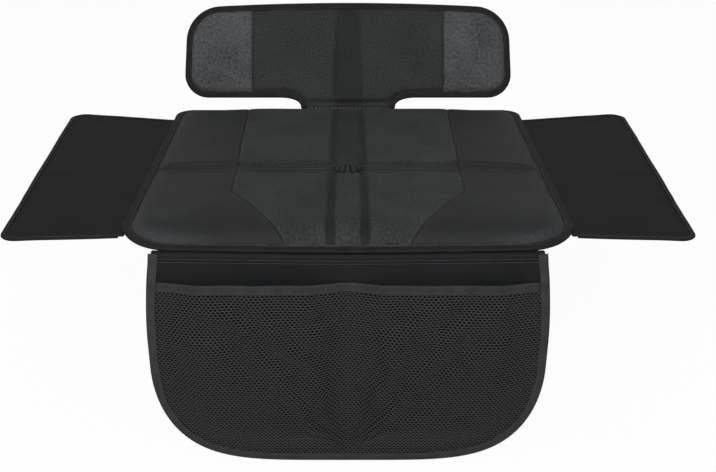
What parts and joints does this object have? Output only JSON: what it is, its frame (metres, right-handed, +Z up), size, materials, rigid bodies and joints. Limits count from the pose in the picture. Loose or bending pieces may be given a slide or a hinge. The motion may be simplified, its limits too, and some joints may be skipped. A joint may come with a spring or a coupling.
{
  "type": "car seat protector mat",
  "caption": "Padded mat that protects a car's seat under a child seat: domed pad, leaning back panel on a neck, thin side wings and a hanging front flap with net pockets.",
  "frame": {"origin": "middle of the pad's flat underside, which lies on the seat cushion", "axes": "+X across the seat, to the right as the picture shows it, +Y towards the backrest, +Z up"},
  "size_m": [0.7938, 0.5486, 0.4025],
  "materials": {
    "oxford_cloth": "near-black Oxford weave",
    "side_cloth": "dark grey, closer and a little smoother weave",
    "binding_tape": "ribbed binding tape",
    "pocket_mesh": "open knitted mesh",
    "grip_sheet": "cloth with a matt rubber grip coat",
    "foam": "open foam, hidden"
  },
  "bodies": {
    "root": {"pad_centre_cover": "oxford_cloth", "pad_left_cover": "side_cloth", "pad_right_cover": "side_cloth", "pad_foam": "foam", "pad_base_sheet": "grip_sheet", "pad_binding": "binding_tape", "centre_button": "oxford_cloth", "left_wing": "oxford_cloth", "right_wing": "oxford_cloth", "left_wing_binding": "binding_tape", "right_wing_binding": "binding_tape", "back_rear_sheet": "grip_sheet", "back_centre_panel": "oxford_cloth", "back_left_panel": "side_cloth", "back_right_panel": "side_cloth", "back_binding": "binding_tape", "flap_panel": "oxford_cloth", "flap_binding": "binding_tape", "left_pocket_net": "pocket_mesh", "right_pocket_net": "pocket_mesh", "pocket_hem": "binding_tape"}
  },
  "joints": []
}
